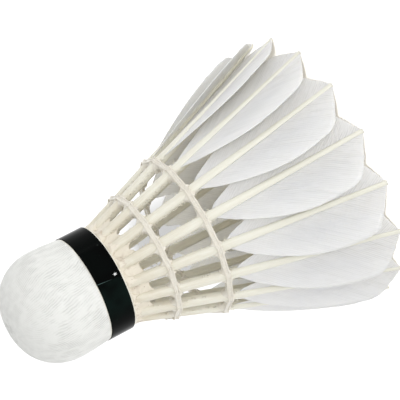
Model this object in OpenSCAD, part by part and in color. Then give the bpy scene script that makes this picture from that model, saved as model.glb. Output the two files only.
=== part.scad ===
// Feather shuttlecock standing on its feather tips, nose up.
// Trimmed feathers are glued into a leather-covered cork base and bound together by two wound threads.
// Distances along the skirt run from the feather face of the base (0) towards the tips.

/* [Base] */
// Diameter of the base over the ribbon
base_d = 26.4; // [25:0.1:28]
// Height of the base from the feather face to the tip of the nose
base_h = 26.2; // [24:0.1:28]
// Height of the rounded nose
dome_h = 12; // [11:0.1:14]
// Shape of the nose, 1 is an ellipse and less is fuller
dome_shape = 0.85; // [0.7:0.05:1]
// How far the leather swells out beyond the ribbon
nose_swell = 0.3; // [0:0.05:0.6]
// Thickness of the leather cover
leather_t = 0.4; // [0.35:0.05:0.8]
// Rounding of the leather's cut edge
leather_edge = 0.25; // [0.1:0.05:0.3]
// Depth of the composite cork that holds the feathers
collar_h = 11; // [10:0.5:12]

/* [Ribbon] */
// Width of the ribbon round the base
ribbon_w = 6.2; // [4:0.1:8]
// Thickness of the ribbon
ribbon_t = 0.15; // [0.1:0.01:0.25]
// Distance from the feather face to the ribbon
ribbon_margin = 0.35; // [0.35:0.05:1]
// Length of the ribbon's lapped end
ribbon_lap = 8; // [4:0.5:12]
// Direction in which the lap ends
ribbon_seam = -97; // [-180:1:180]

/* [Feathers] */
// Height of the skirt from the feather face to the tips
feather_rise = 59.9; // [56:0.1:66]
// Cork left between a quill and the leather at the feather face
root_wall = 0.45; // [0.3:0.05:1.2]
// Diameter of the circle of the shafts' tips
tip_circle_d = 66.8; // [58:0.1:68]
// Inward bow of a feather at half its length
feather_bow = 0.2; // [0:0.1:1]
// Depth of a quill in the cork
root_depth = 8; // [6:0.5:9]
// Quill diameter at its buried end
root_d = 2.1; // [1.6:0.1:2.2]
// Quill diameter at the feather face
quill_d = 2.6; // [2.4:0.1:2.8]
// Quill width where the webs begin
neck_w = 2.5; // [2.2:0.1:2.7]
// Quill thickness where the webs begin
neck_t = 2.3; // [2:0.1:2.6]
// Shaft width at the tip
tip_w = 1; // [0.8:0.1:1.4]
// Shaft thickness at the tip
tip_t = 0.7; // [0.6:0.05:1]

/* [Webs] */
// Bare quill between the upper thread and the webs
web_gap = 1.7; // [1.4:0.1:4]
// Length over which the webs widen
web_growth = 23.7; // [18:0.1:28]
// Width of the outer web, which covers the next feather
wide_web = 10.6; // [9:0.1:11]
// Width of the inner web, which lies under the feather before
narrow_web = 8; // [6:0.1:8.4]
// Outward tilt of the outer web
wide_tilt = 11.7; // [10:0.1:14]
// Inward tilt of the inner web
narrow_tilt = 8; // [7:0.1:11]
// How far a web's edge curls towards the axis
web_curl = 0.5; // [0:0.05:0.6]
// Thickness of the webs
web_t = 0.25; // [0.2:0.01:0.3]
// Slope of the trimmed end from the shaft to the web's corner
trim_angle = 28; // [20:1:35]
// Length of bare shaft left at the tip
tip_stub = 0.3; // [0.2:0.05:0.6]

/* [Bindings] */
// Distance from the feather face to the lower thread
lower_binding = 9.9; // [8.5:0.1:13]
// Distance from the feather face to the upper thread
upper_binding = 21.3; // [18:0.1:24]
// Diameter of the thread
thread_d = 0.5; // [0.4:0.05:0.6]
// Clear gap between two strands
strand_gap = 0.45; // [0.42:0.01:0.6]

/* [Fits] */
// Glue line between bonded pieces
glue_line = 0.05; // [0.02:0.01:0.08]
// Empty depth under a quill in its socket
socket_spare = 0.5; // [0.3:0.1:1]
// Clearance between a thread and a quill
binding_gap = 0.05; // [0.03:0.01:0.1]
// Thickness of the glue bed at the quills
glue_t = 0.35; // [0.2:0.05:0.6]
// How far the glue bed reaches beyond the quills, towards the axis
glue_margin = 0.6; // [0.4:0.1:0.9]

/* [Hidden] */
// The rules of the game ask for sixteen feathers
feather_count = 16;
pitch = 360 / feather_count;
first_angle = -90;
function feather_angle(i) = first_angle + i * pitch;
function feather_name(i) = str("feather_", i < 9 ? "0" : "", i + 1);
BASE_NODES = ["cork_nose", "cork_collar", "leather_cover", "ribbon", "root_glue"];
FEATHER_NODES = [for (i = [0:feather_count - 1]) feather_name(i)];

// Smoothness of turned pieces, and points along curves
$fn = 96;
dome_steps = 20;
swell_steps = 8;
edge_steps = 4;

// Base outline
shank_r = base_d / 2 - ribbon_t - glue_line;
swell_from = ribbon_margin + ribbon_w;
swell_to = base_h - dome_h;
swell = nose_swell + ribbon_t + glue_line;

// Feather centre line
root_r = shank_r - leather_t - 2 * glue_line - root_wall - quill_d / 2;
tip_r = tip_circle_d / 2;
root_slope = (tip_r - root_r - 4 * feather_bow) / feather_rise;

// Shaft and webs: where the webs end, how the shaft tapers, how they sit on it and how round their corners are
web_start = upper_binding + web_gap;
web_end = feather_rise - tip_stub;
shaft_taper = 1.6;
web_seat = 0.12;
corner_power = 6;

// Rings of a feather: points on the back and the belly of its shaft, and shares of each web's width
back_points = 5;
belly_points = 6;
wide_shares = [0.35, 0.7, 1];
narrow_shares = [0.5, 1];
ring_points = back_points + belly_points + 2 * (len(wide_shares) + len(narrow_shares));
// On the bare shaft a ring's points are spread evenly from this angle
bare_from = -50;
// Steps on the bare quill and along the webs, and the length over which a web opens from the shaft
bare_steps = 3;
web_rows = 10;
web_lead = 0.8;

// Thread winding: one turn inside the quills and two outside, as stations along the path.
// Each quill has a station in the gap before it, on both its sides and on its middle.
thread_sides = 6;
quill_stations = 4;
turn_stations = quill_stations * feather_count;
turns = 3;
// Feather at which both threads start and end, opposite the first
first_bound = feather_count / 2;
strand_pitch = thread_d + strand_gap;
inner_draw = 1.25 * strand_pitch;
wrap_angle = 40;
far_stations = 5;
gap_samples = 4;

function mix(a, b, t) = a + (b - a) * t;
function clamp01(t) = min(1, max(0, t));

// Centre line of a feather: radius and its slope at distance s from the feather face
function spine_r(s) =
    let (t = max(s, 0) / feather_rise)
    root_r + min(s, 0) * root_slope + (tip_r - root_r) * t - 4 * feather_bow * t * (1 - t);
function spine_slope(s) =
    let (t = max(s, 0) / feather_rise)
    (tip_r - root_r - 4 * feather_bow * (1 - 2 * t)) / feather_rise;
// Level sections of a leaning quill are longer along the radius by this factor
function lean(s) = sqrt(1 + pow(spine_slope(s), 2));

// Quill width or thickness at s, from its sizes at the neck and the tip
function quill_size(s, neck, tip) =
    s < 0 ? mix(quill_d, root_d, -s / root_depth)
    : s < web_start ? mix(quill_d, neck, s / web_start)
    : tip + (neck - tip) * pow(clamp01((feather_rise - s) / (feather_rise - web_start)), shaft_taper);
function quill_w(s) = quill_size(s, neck_w, tip_w);
function quill_t(s) = quill_size(s, neck_t, tip_t);

// Half width of a web at s: it widens, then the trimmed end cuts it with a round corner
function web_half(s, full) =
    let (
        grown = mix(neck_w / 2, full, sin(90 * clamp01((s - web_start) / web_growth))),
        cut = tip_w / 4 + (feather_rise - s) / tan(trim_angle)
    )
    pow(pow(grown, -corner_power) + pow(cut, -corner_power), -1 / corner_power);

// Outer web and inner web: full width, tilt and side of the shaft
WIDE = [wide_web, wide_tilt, 1];
NARROW = [narrow_web, -narrow_tilt, -1];

// Point of a feather's level section, from its height above the shaft's centre and its distance to one side
function feather_point(s, height, aside) = [spine_r(s) + lean(s) * height, -aside, feather_rise - s];
function shaft_point(s, angle) =
    feather_point(s, quill_t(s) / 2 * cos(angle), quill_w(s) / 2 * sin(angle));

// Height of a web's face at distance c from the shaft's centre, face 1 outside and -1 inside
function web_height(s, web, c, face) =
    web_seat * quill_t(s) + c * sin(web[1]) - web_curl * pow(c / web[0], 2) + face * web_t / 2;
function web_point(s, web, share, face) =
    let (c = mix(quill_w(s) / 2, web_half(s, web[0]), share))
    feather_point(s, web_height(s, web, c, face), web[2] * c * cos(web[1]));
// Angle from the shaft's back at which a web's face meets the shaft
function seat_angle(s, web, face) =
    web[2] * acos(web_height(s, web, quill_w(s) / 4, face) / (quill_t(s) / 2));

// Rings of a feather, round the shaft from the inner web over the back
function bare_ring(s) =
    [for (k = [0:ring_points - 1]) shaft_point(s, bare_from + 360 * k / ring_points)];
function shaft_arc(s, from, to, points) =
    [for (k = [0:points - 1]) shaft_point(s, mix(from, to, k / (points - 1)))];
function web_face(s, web, shares, face) = [for (share = shares) web_point(s, web, share, face)];
function reversed(list) = [for (i = [len(list) - 1:-1:0]) list[i]];
function webbed_ring(s) = concat(
    shaft_arc(s, seat_angle(s, NARROW, 1), seat_angle(s, WIDE, 1), back_points),
    web_face(s, WIDE, wide_shares, 1),
    reversed(web_face(s, WIDE, wide_shares, -1)),
    shaft_arc(s, seat_angle(s, WIDE, -1), 360 + seat_angle(s, NARROW, -1), belly_points),
    web_face(s, NARROW, narrow_shares, -1),
    reversed(web_face(s, NARROW, narrow_shares, 1))
);

// Solid skin over a closed stack of equal rings
function ring_faces(rings, sides) = concat(
    [for (r = [0:rings - 2], k = [0:sides - 1])
        let (a = r * sides + k, b = r * sides + (k + 1) % sides)
        each [[a, a + sides, b], [b, a + sides, b + sides]]],
    [for (k = [1:sides - 2]) [0, k, k + 1]],
    [let (e = (rings - 1) * sides) for (k = [1:sides - 2]) [e, e + k + 1, e + k]]
);
module skin(points, sides) {
    polyhedron(points, ring_faces(len(points) / sides, sides), convexity = 8);
}

// Outline of the base from the rim to the nose, set in by a given depth
function base_outline(inset) = concat(
    [[shank_r - inset, swell_from]],
    [for (i = [1:swell_steps - 1])
        [shank_r - inset + swell * sin(90 * i / swell_steps), mix(swell_from, swell_to, i / swell_steps)]],
    [for (i = [0:dome_steps])
        let (a = 90 * i / dome_steps)
        [(shank_r + swell - inset) * pow(cos(a), dome_shape), swell_to + (dome_h - inset) * sin(a)]]
);
module on_base() {
    translate([0, 0, feather_rise]) children();
}
module cork_form() {
    inset = leather_t + glue_line;
    rotate_extrude() polygon(concat([[0, 0], [shank_r - inset, 0]], base_outline(inset)));
}

module cork_nose() {
    color("burlywood") on_base() intersection() {
        cork_form();
        translate([0, 0, collar_h + glue_line]) cylinder(h = base_h, d = 2 * base_d);
    }
}

// Tapered hole along a quill's root, opened a little beyond the feather face
module quill_socket(depth, beyond) {
    taper = (quill_d - root_d) / root_depth;
    reach = lean(0);
    rotate([0, -atan(root_slope), 0])
        translate([0, 0, -beyond * reach])
            cylinder(
                h = (depth + beyond) * reach,
                d1 = quill_d + taper * beyond + 2 * glue_line,
                d2 = quill_d - taper * depth + 2 * glue_line
            );
}
module all_sockets(depth, beyond) {
    for (i = [0:feather_count - 1]) {
        rotate(feather_angle(i)) translate([root_r, 0, 0]) quill_socket(depth, beyond);
    }
}

module cork_collar() {
    color("tan") on_base() difference() {
        intersection() {
            cork_form();
            cylinder(h = collar_h, d = 2 * base_d);
        }
        all_sockets(root_depth + socket_spare, glue_t);
    }
}

module leather_cover() {
    inner = concat([[shank_r - leather_t, 0]], base_outline(leather_t));
    edge = [for (i = [0:edge_steps])
        let (a = 90 * i / edge_steps)
        [shank_r - leather_edge * (1 - sin(a)), leather_edge * (1 - cos(a))]];
    outer = concat(edge, base_outline(0));
    color("whitesmoke") on_base() rotate_extrude()
        polygon(concat(outer, reversed(inner)));
}

module ribbon_band(from_r, to_r, angle) {
    rotate_extrude(angle = angle)
        translate([from_r, ribbon_margin]) square([to_r - from_r, ribbon_w]);
}
module ribbon() {
    inner_r = shank_r + glue_line;
    lap_angle = ribbon_lap / base_d * 360 / PI;
    color([0.04, 0.05, 0.05]) on_base() rotate(ribbon_seam) {
        ribbon_band(inner_r, inner_r + ribbon_t, 360);
        ribbon_band(inner_r + ribbon_t / 2, inner_r + 2 * ribbon_t, lap_angle);
    }
}

module root_glue() {
    inner_r = root_r - quill_d / 2 - glue_margin;
    outer_r = shank_r - leather_t - glue_line;
    color("navajowhite") on_base() difference() {
        translate([0, 0, -glue_t]) rotate_extrude()
            translate([inner_r, 0]) square([outer_r - inner_r, glue_t]);
        all_sockets(glue_t, 2 * glue_t);
    }
}

// One feather: a quill that is round in the cork, and a tapering shaft with a web on each side
module feather(i) {
    webbed = [for (i = [0:web_rows]) mix(web_start + web_lead, web_end, sin(90 * i / web_rows))];
    rings = concat(
        [bare_ring(-root_depth)],
        [for (i = [0:bare_steps]) bare_ring(web_start * i / bare_steps)],
        [for (s = webbed) webbed_ring(s)],
        [bare_ring(feather_rise)]
    );
    color("ivory") rotate(feather_angle(i)) skin([for (ring = rings) each ring], ring_points);
}

// Station k of a winding: which quill it belongs to, and whether it lies in the gap before it
function station_quill(k) = first_bound + floor((k % turn_stations) / quill_stations);
function in_gap(k) = k % quill_stations == 0;
// The first turn runs inside the quills, the next two outside, one strand beside the other
function is_inside(k) = k < turn_stations;
function strand_level(k) =
    is_inside(k) ? 0
    : k < 2 * turn_stations ? -strand_pitch / 2
    : strand_pitch / 2;
// Distance of a strand from the middle of its quill, so that straight stretches between stations clear it
function wrap_r(s) =
    let (
        quill_half = max(quill_w(s), lean(s) * quill_t(s)) / 2,
        strand_half = lean(s) * (binding_gap + thread_d / 2)
    )
    (quill_half + strand_half) / cos(wrap_angle / 2);
// Radius at which an outer strand crosses the middle of a gap
function chord_r(s) =
    let (side_r = spine_r(s) + wrap_r(s) * cos(wrap_angle), side_y = wrap_r(s) * sin(wrap_angle))
    side_r * cos(pitch / 2) + side_y * sin(pitch / 2);
function at_angle(r, y, angle, s) = [
    r * cos(angle) - y * sin(angle),
    r * sin(angle) + y * cos(angle),
    feather_rise - s
];
function gap_point(s, k, angle) =
    at_angle(chord_r(s) - (k <= turn_stations ? inner_draw : 0), 0, angle - pitch / 2, s);
function quill_point(s, k, angle) =
    let (
        turn = wrap_angle * (k % quill_stations - quill_stations / 2),
        reach = wrap_r(s) * cos(turn) * (is_inside(k) ? -1 : 1)
    )
    at_angle(spine_r(s) + reach, wrap_r(s) * sin(turn), angle, s);
function strand_point(binding, k) =
    let (
        s = binding + strand_level(k) / lean(binding),
        angle = feather_angle(station_quill(k))
    )
    in_gap(k) ? gap_point(s, k, angle) : quill_point(s, k, angle);
// The thread starts and ends on a quill
function strand_path(binding) = [for (k = [1:turns * turn_stations - 2]) strand_point(binding, k)];

function unit(v) = v / norm(v);
// Ring of the tube at point i, mitred where the path bends
function tube_ring(path, i) =
    let (
        ahead = unit(path[min(i + 1, len(path) - 1)] - path[min(i, len(path) - 2)]),
        behind = unit(path[max(i, 1)] - path[max(i - 1, 0)]),
        along = unit(ahead + behind),
        across = unit(cross(along, [0, 0, 1])) / (along * ahead),
        up = unit(cross(across, along))
    )
    [for (k = [0:thread_sides - 1])
        let (a = 360 * k / thread_sides)
        path[i] + thread_d / 2 * (across * cos(a) - up * sin(a))];

// Least clear gap between stretches of the tube that are not neighbours along it
function least_gap(path) =
    let (dense = [for (i = [0:len(path) - 2], j = [0:gap_samples - 1])
        mix(path[i], path[i + 1], j / gap_samples)])
    min([for (i = [0:len(dense) - 1], j = [i + far_stations * gap_samples:1:len(dense) - 1])
        norm(dense[i] - dense[j])]) - thread_d;

module thread(binding) {
    path = strand_path(binding);
    echo(binding = binding, least_gap_to_itself = least_gap(path));
    color("antiquewhite") skin([for (i = [0:len(path) - 1]) each tube_ring(path, i)], thread_sides);
}

cork_nose();
cork_collar();
leather_cover();
ribbon();
root_glue();
for (i = [0:feather_count - 1]) {
    feather(i);
}
thread(lower_binding);  // lower_thread
thread(upper_binding);  // upper_thread
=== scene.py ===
"""Feather shuttlecock: the finish of every piece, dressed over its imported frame."""

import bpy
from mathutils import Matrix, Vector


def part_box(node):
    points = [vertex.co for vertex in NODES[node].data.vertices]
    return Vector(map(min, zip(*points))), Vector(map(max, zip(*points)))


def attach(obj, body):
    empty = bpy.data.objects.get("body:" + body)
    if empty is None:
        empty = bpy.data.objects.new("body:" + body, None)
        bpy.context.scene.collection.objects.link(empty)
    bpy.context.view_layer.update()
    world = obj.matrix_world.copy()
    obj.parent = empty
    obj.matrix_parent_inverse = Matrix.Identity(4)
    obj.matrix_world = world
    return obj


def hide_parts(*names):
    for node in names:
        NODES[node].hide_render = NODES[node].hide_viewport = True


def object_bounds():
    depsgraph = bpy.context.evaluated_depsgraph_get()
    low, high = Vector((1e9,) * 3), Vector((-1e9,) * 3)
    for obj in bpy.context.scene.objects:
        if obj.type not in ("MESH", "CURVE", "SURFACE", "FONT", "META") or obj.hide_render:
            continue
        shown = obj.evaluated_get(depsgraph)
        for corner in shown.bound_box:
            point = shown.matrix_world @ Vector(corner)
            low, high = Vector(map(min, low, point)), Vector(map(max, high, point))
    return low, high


bl_info = {
    "name": "Feather shuttlecock",
    "version": (1, 0, 0),
    "blender": (4, 5, 0),
    "location": "3D View > Sidebar > Shuttlecock",
    "description": "Dresses a shuttlecock with leather, ribbon, cork, glue, feathers and bound threads",
    "category": "Object",
}

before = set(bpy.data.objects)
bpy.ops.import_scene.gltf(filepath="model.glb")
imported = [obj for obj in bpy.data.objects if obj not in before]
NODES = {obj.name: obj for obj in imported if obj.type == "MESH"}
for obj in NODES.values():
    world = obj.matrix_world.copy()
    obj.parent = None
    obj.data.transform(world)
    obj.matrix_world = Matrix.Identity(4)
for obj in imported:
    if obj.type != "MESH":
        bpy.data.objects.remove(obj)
CAD_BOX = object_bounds()

import math
import random

import bmesh
import bpy
from bpy.props import FloatProperty, FloatVectorProperty, IntProperty, PointerProperty
from mathutils import Matrix, Vector, noise

MM = 0.001
FEATHER_NODES = sorted(name for name in NODES if name.startswith("feather_"))
PITCH = math.tau / len(FEATHER_NODES)
FIRST_ANGLE = -math.pi / 2

# Places that the frame gives: the base's feather face, the nose, the ribbon and the two bindings
FACE_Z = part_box("leather_cover")[0].z
NOSE_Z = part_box("leather_cover")[1].z
NOSE_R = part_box("leather_cover")[1].x
RIBBON_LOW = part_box("ribbon")[0].z
RIBBON_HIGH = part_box("ribbon")[1].z
ROOT_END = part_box("feather_01")[1].z
# Depth of light inside pale pieces, the same for every colour but a little less for blue
EVEN_DEPTH = (1.0, 0.97, 0.88)
# Middle of a small blister on the ribbon's lapped end
BLISTER = Vector((-1.18, -13.23, 1.55)) * MM + Vector((0.0, 0.0, FACE_Z))
WHITE = (1.0, 1.0, 1.0, 1.0)
BLACK = (0.0, 0.0, 0.0, 1.0)

# How fast a shaft thins towards its tip, and how tightly a web turns the corner to its trimmed end
SHAFT_TAPER = 1.4
WEB_CORNER = 6
# Where a web leaves its shaft, as shares of the shaft's depth and width
WEB_LEVEL = 0.12
BARB_SEAT = 0.3
# Turns of a bound thread, its stations at each quill, and the inward draw of its first turn in pitches
TURNS = 3
QUILL_STATIONS = 4
INNER_DRAW = 1.25

# Faces across and along the pieces
SPIN_STEPS = 360
RIBBON_FACES = (28, 300)
GLUE_BED_FACES = (40, 640)
QUILL_FACES = (24, 96)
WEB_COLUMNS = 12
THREAD_SIDES = 10
THREAD_STEPS = 8
BAND_FACES = (20, 960)
# Seeds of the random draws, so that every run makes the same piece
CREASE_SEED = 5
FILM_SEED = 29
WEB_SEED = 4100
QUILL_SEED = 700
# How far the pattern across a quill or a web moves from one feather to the next
QUILL_SHIFT = 3.1
WEB_SHIFT = 1.7
# Distance within which corners are merged, and the angle from which an edge looks sharp
MERGE = 0.0005 * MM
SHARP = math.radians(60)


def binding_distance(node):
    """Distance of a thread's middle from the feather face."""
    low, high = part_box(node)
    return FACE_Z - (low.z + high.z) / 2


def length(name, value, about):
    return FloatProperty(name=name, description=about, default=value, unit="LENGTH", precision=5)


def share(name, value, about):
    return FloatProperty(name=name, description=about, default=value, min=0.0, subtype="FACTOR")


def colour(name, value, about):
    return FloatVectorProperty(
        name=name, description=about, default=(*value, 1.0), size=4, min=0.0, max=1.0, subtype="COLOR"
    )


def degrees(name, value, about):
    return FloatProperty(name=name, description=about, default=math.radians(value), subtype="ANGLE")


def power(name, watts, about):
    return FloatProperty(name=name, description=about, default=watts, unit="POWER")


def position(name, value, about):
    return FloatVectorProperty(name=name, description=about, default=value, unit="LENGTH", precision=6)


class ShuttleBaseSettings(bpy.types.PropertyGroup):
    """Sizes and colours of the base: cork, leather, ribbon and the glue at the quills."""

    dome_height: length("Dome height", 12 * MM, "Height of the rounded nose")
    dome_shape: share("Dome shape", 0.85, "1 is an ellipse and less is fuller")
    leather_swell: length("Leather swell", 0.5 * MM, "How far the nose is wider than the shank")
    leather_thickness: length("Leather thickness", 0.4 * MM, "Thickness of the leather cover")
    leather_edge: length("Leather edge", 0.25 * MM, "Rounding of the leather's cut edge")
    crease_depth: length("Crease depth", 0.015 * MM, "Depth of the leather's stretched grain")
    crease_width: length("Crease width", 0.6 * MM, "Width of one fold of the stretched grain")
    crease_stretch: share("Crease stretch", 0.17, "Width of a fold over its length")
    crease_lean: share("Crease lean", 0.25, "Sideways run of a fold over its rise")
    leather_colour: colour("Leather", (0.82, 0.825, 0.795), "White dyed leather")
    # Painted shade: the darker colour that the leather takes in the creases of its grain
    crease_shade_colour: colour("Leather creases", (0.54, 0.545, 0.52), "Leather in the creases")
    speck_colour: colour("Leather specks", (0.20, 0.20, 0.19), "Dirt specks on the leather")
    # Cream colour of the leather in a thin band along the ribbon's upper edge
    rim_colour: colour("Leather rim", (0.86, 0.84, 0.74), "Leather in a band along the ribbon's edge")
    ribbon_thickness: length("Ribbon thickness", 0.15 * MM, "Thickness of the ribbon")
    ribbon_lap: length("Ribbon lap", 8 * MM, "Length of the ribbon's lapped end")
    ribbon_seam: degrees("Ribbon seam", -97, "Direction in which the lap ends")
    ribbon_slant: degrees("Ribbon slant", 2.5, "Slant of the lap's cut end")
    ribbon_colour: colour("Ribbon", (0.0003, 0.0003, 0.0003), "Glossy black ribbon")
    # Painted reflection: the greenish sheen painted on the ribbon just past its seam
    ribbon_sheen_colour: colour("Ribbon sheen", (0.0045, 0.0120, 0.0098), "Greenish cast of the ribbon")
    # The lap's cut end: partly its own paler colour, partly a painted highlight along it
    ribbon_edge_glint_colour: colour("Ribbon edge", (0.10, 0.16, 0.15), "Cut edge of the ribbon")
    dust_colour: colour("Ribbon dust", (0.12, 0.14, 0.13), "Dust on the ribbon")
    glue_inner: length("Glue inside", 1.9 * MM, "Reach of the glue bed towards the axis")
    glue_outer: length("Glue outside", 1.8 * MM, "Reach of the glue bed towards the rim")
    glue_bed: length("Glue bed", 0.3 * MM, "Thickness of the glue bed")
    glue_climb: length("Glue climb", 2.4 * MM, "Height to which glue climbs a quill")
    glue_spread: length("Glue spread", 0.6 * MM, "Distance over which a glue fillet thins out")
    film_height: length("Film height", 8.5 * MM, "Height of the glue film beside a quill")
    film_thickness: length("Film thickness", 1.0 * MM, "Thickness of the glue film between two quills")
    glue_colour: colour("Root glue", (0.80, 0.74, 0.62), "Dried glue at the quills")
    stain_colour: colour("Root glue stain", (0.26, 0.145, 0.07), "Brown residue at the quills")
    cork_colour: colour("Cork", (0.56, 0.36, 0.19), "Natural cork")
    granule_colour: colour("Cork granules", (0.70, 0.48, 0.27), "Palest granules of the cork")
    grain_colour: colour("Cork grain", (0.19, 0.095, 0.042), "Dark pores and edges of cork granules")


class ShuttleFeatherSettings(bpy.types.PropertyGroup):
    """Sizes and colours of the feathers."""

    root_circle: length("Root circle", 21.5 * MM, "Circle on which the quills leave the base")
    tip_circle: length("Tip circle", 66.8 * MM, "Circle of the shafts' tips")
    bow: length("Bow", 0.2 * MM, "Inward bow of a feather at half its length")
    root_width: length("Root width", 2.1 * MM, "Quill diameter at its buried end")
    quill_width: length("Quill width", 2.6 * MM, "Quill diameter at the feather face")
    neck_width: length("Neck width", 2.5 * MM, "Quill width where the webs begin")
    neck_depth: length("Neck depth", 2.3 * MM, "Quill thickness where the webs begin")
    tip_width: length("Tip width", 1.2 * MM, "Shaft width at the tip")
    tip_depth: length("Tip depth", 0.8 * MM, "Shaft thickness at the tip")
    web_gap: length("Web gap", 1.7 * MM, "Bare quill between the upper thread and the webs")
    web_growth: length("Web growth", 23.7 * MM, "Length over which the webs widen")
    wide_web: length("Wide web", 10.6 * MM, "Width of the outer web")
    narrow_web: length("Narrow web", 8 * MM, "Width of the inner web")
    wide_tilt: degrees("Wide tilt", 11.7, "Outward tilt of the outer web")
    narrow_tilt: degrees("Narrow tilt", 8, "Inward tilt of the inner web")
    web_curl: length("Web curl", 0.5 * MM, "How far a web's edge curls towards the axis")
    web_thickness: length("Web thickness", 0.11 * MM, "Thickness of the webs")
    trim_angle: degrees("Trim angle", 28, "Slope of the trimmed end")
    tip_stub: length("Tip stub", 0.3 * MM, "Length of bare shaft at the tip")
    barbs: IntProperty(name="Barbs", description="Barbs along each web", default=48, min=10)
    barb_angle: degrees("Barb angle", 38, "Angle between the barbs and the shaft")
    barb_ridge: length("Barb ridge", 0.03 * MM, "Height of a barb above the web")
    flutter: length("Flutter", 0.13 * MM, "Unevenness of a web")
    stub_length: length("Barb stub", 0.75 * MM, "Length of the barb stubs left on the bare quill")
    quill_colour: colour("Quill", (0.86, 0.85, 0.755), "Ivory horn of the shaft")
    quill_root_colour: colour("Quill root", (0.70, 0.635, 0.50), "Tan horn of the quill near the base")
    web_colour: colour("Web", (0.90, 0.898, 0.875), "White web")
    # Painted shade in the valleys between the barbs
    web_shade_colour: colour("Web between barbs", (0.74, 0.738, 0.71), "Web between the barbs")


class ShuttleBindingSettings(bpy.types.PropertyGroup):
    """Sizes and colours of the bound threads and the glue on them."""

    thread_width: length("Thread", 0.5 * MM, "Diameter of the thread")
    strand_gap: length("Strand gap", 0.45 * MM, "Gap between two strands")
    clearance: length("Clearance", 0.05 * MM, "Gap between a thread and a quill")
    wrap_angle: degrees("Wrap angle", 40, "Angle round a quill over which a strand bears on it")
    twist_pitch: length("Twist pitch", 1.5 * MM, "Length of one turn of the thread's twist")
    glue_width: length("Glue width", 0.46 * MM, "Half width of the glue between two quills")
    glue_cover: length("Glue cover", 0.12 * MM, "Thickness of the glue over the strands")
    fillet_width: length("Fillet width", 1.0 * MM, "Extra half width of the glue beside a quill")
    fillet_reach: length("Fillet reach", 0.5 * MM, "Distance over which a fillet thins out")
    thread_colour: colour("Thread", (0.83, 0.795, 0.71), "Off-white thread soaked with glue")
    glue_colour: colour("Binding glue", (0.83, 0.795, 0.71), "Milky dried glue")
    glue_shade_colour: colour("Binding glue shade", (0.75, 0.70, 0.60), "Thin glue")


class ShuttleStageSettings(bpy.types.PropertyGroup):
    """Camera, lights and floor."""

    lens: FloatProperty(
        name="Lens", description="Focal length on a sensor 36 mm wide", default=201.7377, unit="CAMERA"
    )
    camera_place: position("Camera place", (-0.0384814, -0.50059815, 0.19796892), "Where the camera stands")
    camera_turn: FloatVectorProperty(
        name="Camera turn", description="How the camera is turned",
        default=(-0.94520171, 1.00156086, -2.68358657), subtype="EULER",
    )
    key_place: position("Key place", (0.0, -0.86, 0.22), "Where the large soft lamp stands")
    key_size: length("Key size", 0.3, "Width of the large soft lamp")
    key_power: power("Key power", 1.5, "Power of the large soft lamp")
    glint_place: position(
        "Glint place", (-0.00558, -0.05637, 0.04935), "Where the spot lamp stands that glints in the ribbon"
    )
    glint_power: power("Glint power", 0.4, "Power of the spot lamp")
    glint_size: length("Glint size", 0.3 * MM, "Radius of the spot lamp")
    glint_cone: degrees("Glint cone", 1, "Opening of the spot lamp's beam")
    glint_blend: share("Glint blend", 0.5, "Softness of the beam's edge")
    sky_level: share("Sky level", 0.76, "Light that comes evenly from all round")
    floor_colour: colour("Floor", (0.5, 0.5, 0.5), "Plain floor, which its own lamp lights to white")
    floor_fleck_colour: colour("Floor flecks", (0.51, 0.51, 0.51), "Faint flecks in the floor")
    floor_light: FloatProperty(
        name="Floor light", description="Strength of the lamp that lights only the floor", default=9.4
    )
    floor_glow: colour("Floor glow", (0.22, 0.22, 0.22), "Even glow that the camera sees in the floor")
    floor_light_rise: degrees("Floor light rise", 26, "Height angle of the floor's lamp, behind the camera")
    floor_light_spread: degrees("Floor light spread", 4, "Softness of the shadow on the floor")
    inner_light: power("Inner light", 0.05, "Power of the lamp that lights the floor inside the skirt")
    inner_colour: colour("Inner light colour", (1.0, 0.84, 0.52), "Light that the feathers let through")
    inner_size: length("Inner light size", 4 * MM, "Radius of the lamp inside the skirt")
    inner_height: share("Inner light height", 0.9, "Height of that lamp, from the floor to the feather face")
    floor_size: length("Floor size", 3.0, "Half the width of the floor")


def mix(a, b, t):
    return a + (b - a) * t


def clamp01(t):
    return min(1.0, max(0.0, t))


def ease(t):
    t = clamp01(t)
    return t * t * (3 - 2 * t)


def signed_power(value, exponent):
    """A power that keeps the value's sign, which makes a round section squarer."""
    return math.copysign(abs(value) ** exponent, value)


def polar(radius, angle, z=0.0):
    return Vector((radius * math.cos(angle), radius * math.sin(angle), z))


def feather_angle(index):
    return FIRST_ANGLE + index * PITCH


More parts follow.
